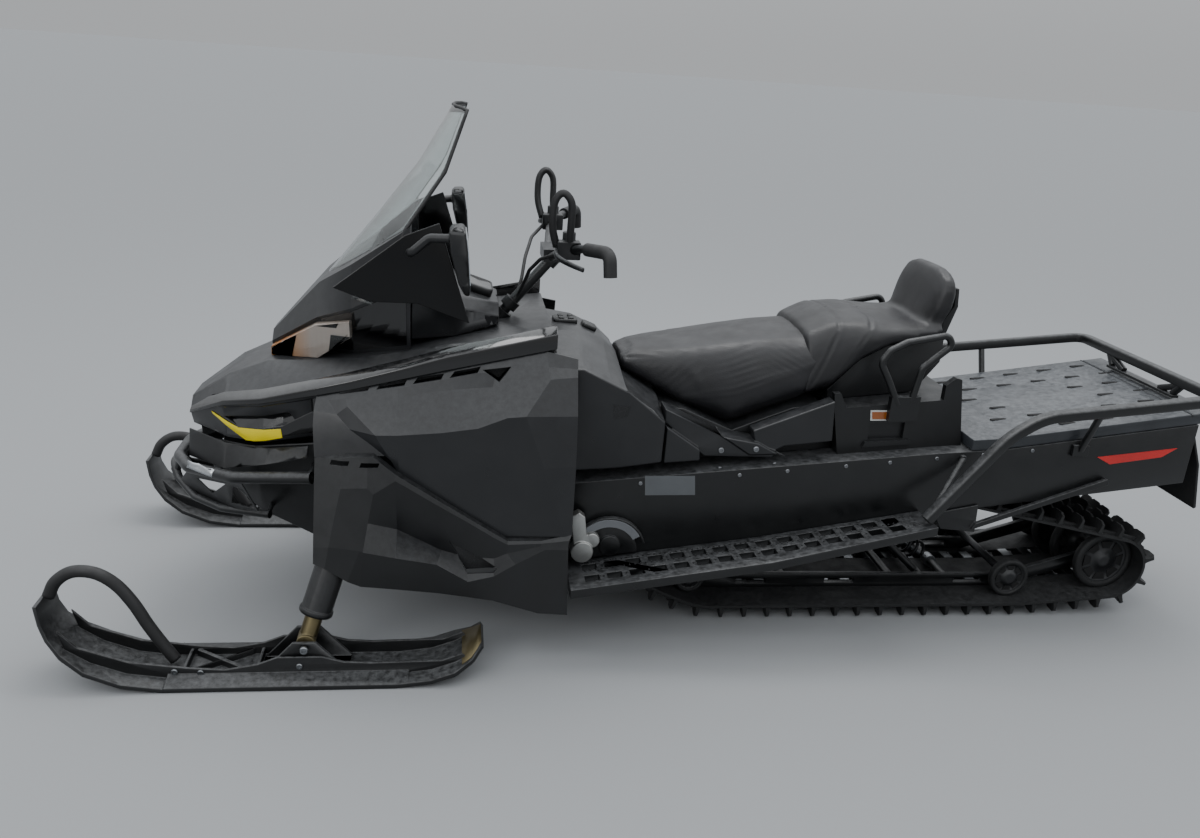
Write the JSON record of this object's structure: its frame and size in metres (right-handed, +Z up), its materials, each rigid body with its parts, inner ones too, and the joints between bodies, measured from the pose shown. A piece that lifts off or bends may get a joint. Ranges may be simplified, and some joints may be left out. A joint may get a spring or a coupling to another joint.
{
  "type": "wide-track utility snowmobile",
  "caption": "Wide-track utility snowmobile with faceted black bodywork, tall windshield, two-up seat with backrest, rear cargo deck with rack and a lugged track.",
  "frame": {"origin": "on the ground under the middle of the machine's length and width", "axes": "+X forwards, +Y to the rider's left, +Z up"},
  "size_m": [3.28, 1.15, 1.423],
  "materials": {
    "black_painted_metal": "satin",
    "bronze_metal": "satin",
    "cast_aluminium": "cast",
    "charcoal_plastic": "satin",
    "clear_plastic": "gloss",
    "gloss_black_plastic": "gloss",
    "matte_black_plastic": "matte",
    "red_plastic": "gloss",
    "rubber": "matte",
    "seat_vinyl": "matte",
    "steel": "satin",
    "yellow_plastic": "gloss"
  },
  "bodies": {
    "handlebar": {"bar_controls": "matte_black_plastic", "control_cables": "rubber", "hand_hooks": "matte_black_plastic", "handlebar": "black_painted_metal", "handlebar_grips": "rubber", "steering_post": "black_painted_metal"},
    "leg_left": {"ski_leg_left": "bronze_metal"},
    "leg_right": {"ski_leg_right": "bronze_metal"},
    "ski_left": {"ski_handle_left": "matte_black_plastic", "ski_left": "matte_black_plastic"},
    "ski_right": {"ski_handle_right": "matte_black_plastic", "ski_right": "matte_black_plastic"},
    "chassis": {"backrest": "seat_vinyl", "backrest_shell": "matte_black_plastic", "belly_pan": "matte_black_plastic", "brake_caliper": "cast_aluminium", "cargo_deck": "matte_black_plastic", "cowl": "gloss_black_plastic", "dash": "charcoal_plastic", "drive_axle": "steel", "drive_cover": "matte_black_plastic", "driver_seat": "seat_vinyl", "engine_block": "cast_aluminium", "engine_cradle": "black_painted_metal", "front_bumper": "black_painted_metal", "grab_handles": "matte_black_plastic", "headlamps": "clear_plastic", "hitch": "steel", "hood": "gloss_black_plastic", "hood_accents": "yellow_plastic", "hood_blades": "gloss_black_plastic", "lower_fairings": "matte_black_plastic", "mirrors": "matte_black_plastic", "nose_fascia": "matte_black_plastic", "nose_guard": "matte_black_plastic", "passenger_seat": "seat_vinyl", "pillion_base": "matte_black_plastic", "post_bearing": "black_painted_metal", "rack_hoop": "black_painted_metal", "rail_wheels": "matte_black_plastic", "rear_braces": "black_painted_metal", "rear_cover": "charcoal_plastic", "running_boards": "black_painted_metal", "seat_base": "matte_black_plastic", "shocks": "steel", "side_panels": "charcoal_plastic", "side_trims": "charcoal_plastic", "slide_rails": "black_painted_metal", "snow_flap": "rubber", "storage_box": "charcoal_plastic", "struts": "black_painted_metal", "suspension_arms": "black_painted_metal", "tail_lamp": "red_plastic", "track": "rubber", "tunnel": "black_painted_metal", "wind_deflectors": "matte_black_plastic", "windshield": "clear_plastic"}
  },
  "joints": [
    {"name": "steer", "type": "hinge", "parent": "chassis", "child": "handlebar", "pos_m": [0.526, 0, 0.837], "axis": [-0.6428, 0, 0.766], "range_deg": [-35, 35]},
    {"name": "leg_turn_left", "type": "hinge", "parent": "chassis", "child": "leg_left", "pos_m": [1.005, 0.47, 0.086], "axis": [-0.2949, -0.2272, 0.9281], "range_deg": [-28, 28]},
    {"name": "ski_rock_left", "type": "hinge", "parent": "leg_left", "child": "ski_left", "pos_m": [1.005, 0.47, 0.086], "axis": [0, 1, 0], "range_deg": [-10, 10]},
    {"name": "leg_turn_right", "type": "hinge", "parent": "chassis", "child": "leg_right", "pos_m": [1.005, -0.47, 0.086], "axis": [-0.2949, 0.2272, 0.9281], "range_deg": [-28, 28]},
    {"name": "ski_rock_right", "type": "hinge", "parent": "leg_right", "child": "ski_right", "pos_m": [1.005, -0.47, 0.086], "axis": [0, 1, 0], "range_deg": [-10, 10]}
  ],
  "couplings": [
    {"joint": "leg_turn_left", "follows": "steer", "ratio": 0.8},
    {"joint": "leg_turn_right", "follows": "steer", "ratio": 0.8}
  ]
}
